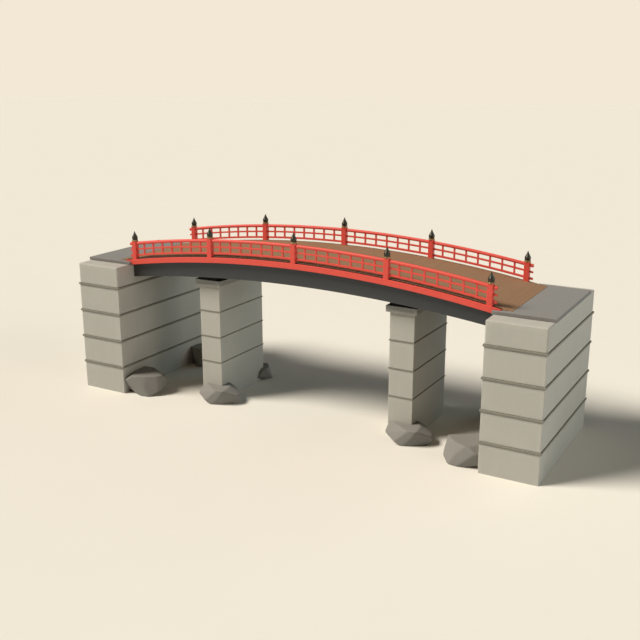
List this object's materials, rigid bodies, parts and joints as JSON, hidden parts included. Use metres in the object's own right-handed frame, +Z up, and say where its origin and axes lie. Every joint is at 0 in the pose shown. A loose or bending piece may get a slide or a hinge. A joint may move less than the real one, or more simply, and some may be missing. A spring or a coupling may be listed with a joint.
{
  "type": "moon bridge",
  "caption": "Arched timber footbridge with red railings and onion-topped posts, on straight stone abutments and piers with boulders at their feet.",
  "frame": {"origin": "middle of the bridge, on the level that its abutments and piers stand on", "axes": "+X along the bridge to the right as the picture shows it, +Y across it to the back, +Z up"},
  "size_m": [26.1, 7.86, 9.735],
  "materials": {
    "granite": "fine tooled warm grey granite",
    "joint_stone": "darker bonding course, slightly weathered",
    "coping_stone": "worn grey paving slab",
    "boulder": "rough split boulder",
    "black_timber": "black stained timber",
    "deck_timber": "worn brown planks laid across the bridge",
    "vermilion": "satin vermilion lacquer on timber",
    "collar_bronze": "brown gilt bronze",
    "dark_bronze": "dark patinated bronze"
  },
  "bodies": {
    "root": {"left_abutment_courses": "granite", "left_pier_courses": "granite", "left_pier_cap": "granite", "left_abutment_joint_bands": "joint_stone", "left_pier_joint_bands": "joint_stone", "left_abutment_coping": "coping_stone", "left_pier_bearer": "black_timber", "left_abutment_foot_stones": "boulder", "left_pier_foot_stones": "boulder", "right_abutment_courses": "granite", "right_pier_courses": "granite", "right_pier_cap": "granite", "right_abutment_joint_bands": "joint_stone", "right_pier_joint_bands": "joint_stone", "right_abutment_coping": "coping_stone", "right_pier_bearer": "black_timber", "right_abutment_foot_stones": "boulder", "right_pier_foot_stones": "boulder", "front_girder": "black_timber", "centre_girder": "black_timber", "back_girder": "black_timber", "cross_joists": "black_timber", "deck": "deck_timber", "front_fascia": "vermilion", "front_posts": "vermilion", "front_rail_ends": "vermilion", "front_railing_bay_1": "vermilion", "front_railing_bay_2": "vermilion", "front_railing_bay_3": "vermilion", "front_railing_bay_4": "vermilion", "front_post_collars": "collar_bronze", "front_finials": "dark_bronze", "back_fascia": "vermilion", "back_posts": "vermilion", "back_rail_ends": "vermilion", "back_railing_bay_1": "vermilion", "back_railing_bay_2": "vermilion", "back_railing_bay_3": "vermilion", "back_railing_bay_4": "vermilion", "back_post_collars": "collar_bronze", "back_finials": "dark_bronze"}
  },
  "joints": []
}
